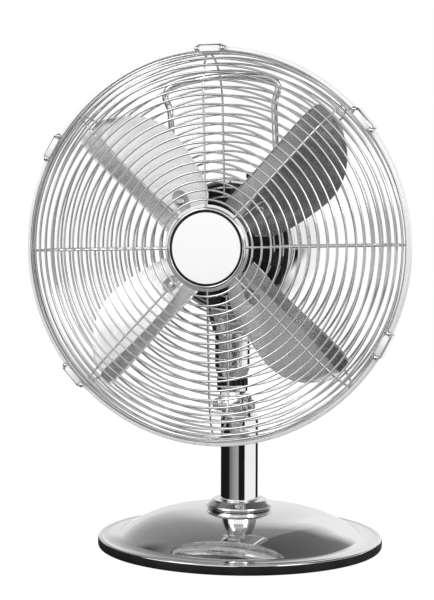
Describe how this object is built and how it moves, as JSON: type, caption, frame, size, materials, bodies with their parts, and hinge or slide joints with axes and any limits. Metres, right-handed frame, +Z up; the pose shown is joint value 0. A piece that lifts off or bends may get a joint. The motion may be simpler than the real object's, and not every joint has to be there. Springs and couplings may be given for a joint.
{
  "type": "desk fan",
  "caption": "Chrome desk fan: four pitched blades turn in a latched wire guard on a swivelling, tilting head over a weighted saucer base.",
  "frame": {"origin": "centre of the base's underside, on the table", "axes": "+Z up; the head at rest blows towards -Y; +X to the right of someone who faces the fan"},
  "size_m": [0.355, 0.2686, 0.4626],
  "materials": {
    "chrome": "polished chrome plating",
    "chrome_wire": "polished chrome plating on welded wire",
    "blade_metal": "satin, brushed along the blade",
    "steel": "plain zinc-plated steel",
    "cast_metal": "die cast, polished where it shows",
    "cast_iron": "rough casting",
    "bronze": "sintered bearing bronze",
    "copper": "varnished copper wire",
    "black_plastic": "moulded, fine satin",
    "black_paint": "satin black paint",
    "edge_black": "soft black edge strip",
    "badge_white": "plain glossy white"
  },
  "bodies": {
    "stand": {"edge_band": "edge_black", "base_cover": "chrome", "base_weight": "cast_iron", "base_plate": "steel", "cable_gland": "black_plastic", "post_tube": "chrome", "post_collar": "chrome", "post_insert": "steel", "foot_bolt": "steel", "post_cap": "chrome", "tilt_bolt": "chrome", "tilt_nut": "chrome"},
    "tilt_arm": {"knuckle": "cast_metal", "thrust_ring": "black_plastic", "swivel_nut": "steel"},
    "head": {"neck_sleeve": "chrome", "swivel_bush": "bronze", "neck_saddle": "chrome", "motor_housing": "chrome", "motor_front_plate": "black_paint", "stator_core": "steel", "front_winding": "copper", "rear_winding": "copper", "front_bearing": "bronze", "rear_bearing": "bronze", "gearbox": "cast_metal", "speed_switch": "black_plastic", "rear_guard": "chrome_wire", "front_guard": "chrome_wire", "lock_screw": "steel", "guard_screw_1": "black_plastic", "guard_screw_2": "black_plastic", "guard_screw_3": "black_plastic", "guard_screw_4": "black_plastic", "hub_bezel": "chrome", "hub_badge": "badge_white", "hub_nut": "steel", "rim_band": "chrome", "carry_handle": "chrome"},
    "propeller": {"motor_shaft": "steel", "rotor": "cast_iron", "blade_hub": "steel", "blade_1": "blade_metal", "blade_2": "blade_metal", "blade_3": "blade_metal", "blade_4": "blade_metal", "spinner_nut": "black_plastic"},
    "clutch": {"clutch_knob": "black_plastic"},
    "speed_dial": {"speed_knob": "black_plastic"},
    "latch_1": {"clip_1": "chrome"},
    "latch_2": {"clip_2": "chrome"},
    "latch_3": {"clip_3": "chrome"},
    "latch_4": {"clip_4": "chrome"},
    "latch_5": {"clip_5": "chrome"}
  },
  "joints": [
    {"name": "head_tilt", "type": "hinge", "parent": "stand", "child": "tilt_arm", "pos_m": [0, -0.014, 0.134], "axis": [1, 0, 0], "range_deg": [-25, 15]},
    {"name": "head_swivel", "type": "hinge", "parent": "tilt_arm", "child": "head", "pos_m": [0, -0.024, 0.16], "axis": [0, 0, 1], "range_deg": [-40, 40]},
    {"name": "blade_spin", "type": "hinge", "parent": "head", "child": "propeller", "pos_m": [0, -0.079, 0.2833], "axis": [0, 1, 0], "continuous": true},
    {"name": "clutch_pull", "type": "slide", "parent": "head", "child": "clutch", "axis": [0, 0, 1], "range_m": [0, 0.008]},
    {"name": "speed_turn", "type": "hinge", "parent": "head", "child": "speed_dial", "pos_m": [0, 0.09, 0.2833], "axis": [0, -1, 0], "range_deg": [0, 135]},
    {"name": "clip_1_open", "type": "hinge", "parent": "head", "child": "latch_1", "pos_m": [0, -0.0958, 0.4587], "axis": [1, 0, 0], "range_deg": [0, 95]},
    {"name": "clip_2_open", "type": "hinge", "parent": "head", "child": "latch_2", "pos_m": [0.13631, -0.0958, 0.39368], "axis": [0.6293, 0, -0.7771], "range_deg": [0, 95]},
    {"name": "clip_3_open", "type": "hinge", "parent": "head", "child": "latch_3", "pos_m": [0.15487, -0.0958, 0.20095], "axis": [-0.4695, 0, -0.8829], "range_deg": [0, 95]},
    {"name": "clip_4_open", "type": "hinge", "parent": "head", "child": "latch_4", "pos_m": [-0.13035, -0.0958, 0.16593], "axis": [-0.6691, 0, 0.7431], "range_deg": [0, 95]},
    {"name": "clip_5_open", "type": "hinge", "parent": "head", "child": "latch_5", "pos_m": [-0.15035, -0.0958, 0.37364], "axis": [0.515, 0, 0.8572], "range_deg": [0, 95]}
  ]
}
